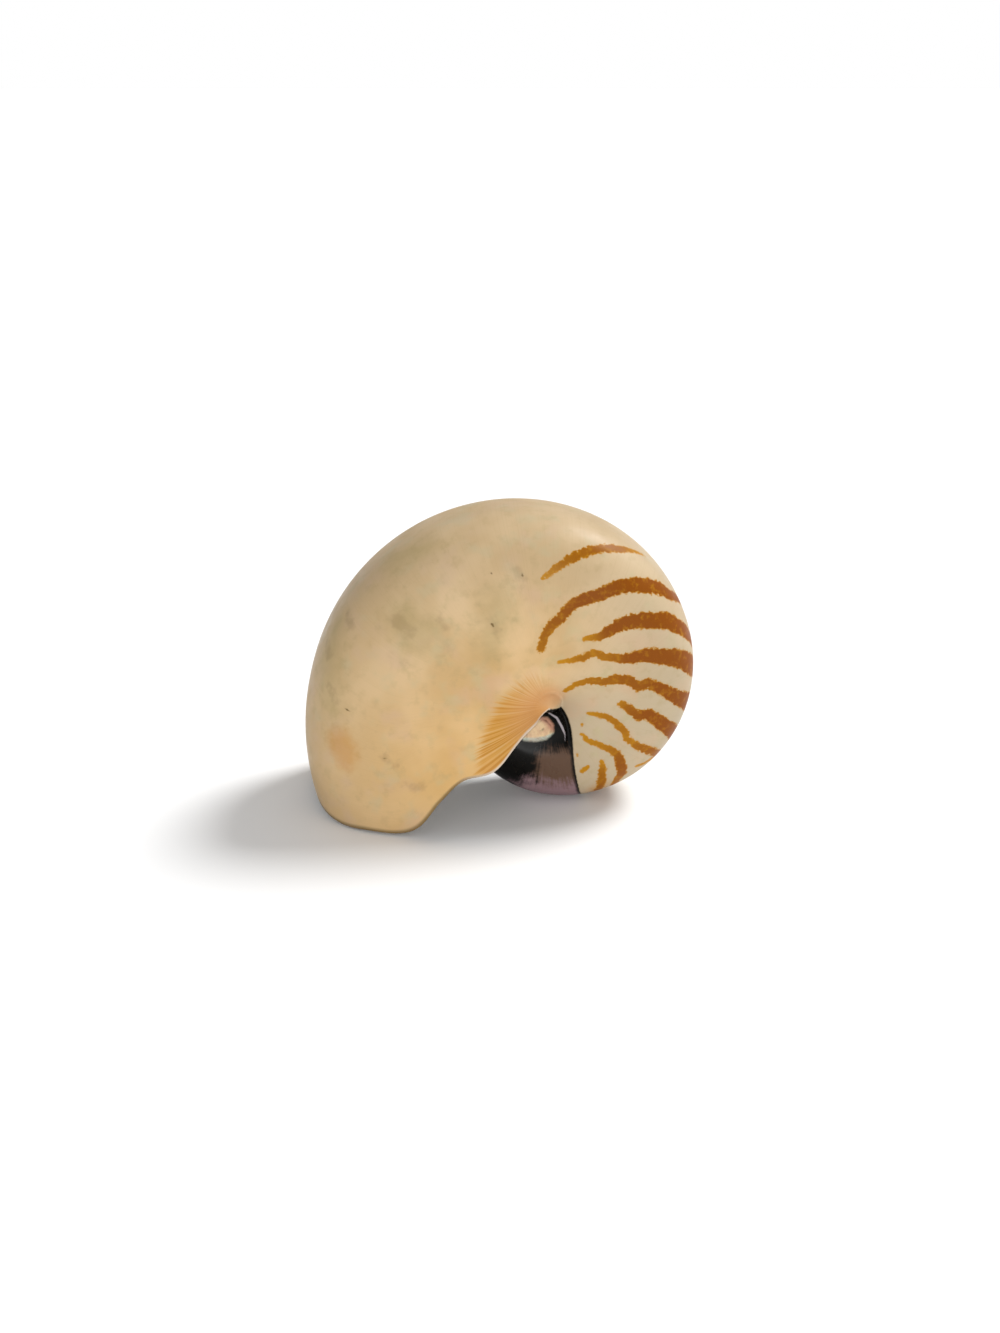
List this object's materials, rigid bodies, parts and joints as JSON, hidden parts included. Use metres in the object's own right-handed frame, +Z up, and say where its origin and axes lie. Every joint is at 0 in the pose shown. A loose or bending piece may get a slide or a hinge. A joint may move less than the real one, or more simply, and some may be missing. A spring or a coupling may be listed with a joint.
{
  "type": "nautilus shell",
  "caption": "Coiled chambered seashell with an open body chamber, standing on its aperture's edge and the whorl before.",
  "frame": {"origin": "middle of the shell's box, on the surface it stands on", "axes": "+X from the aperture towards the striped side, +Y along the coiling axis away from the near flank, +Z up"},
  "size_m": [0.1498, 0.0834, 0.1169],
  "materials": {
    "shell": "smooth natural shell with a soft satin gloss, rust-brown stripes on the older part of the last whorl"
  },
  "bodies": {
    "root": {"shell": "shell"}
  },
  "joints": []
}
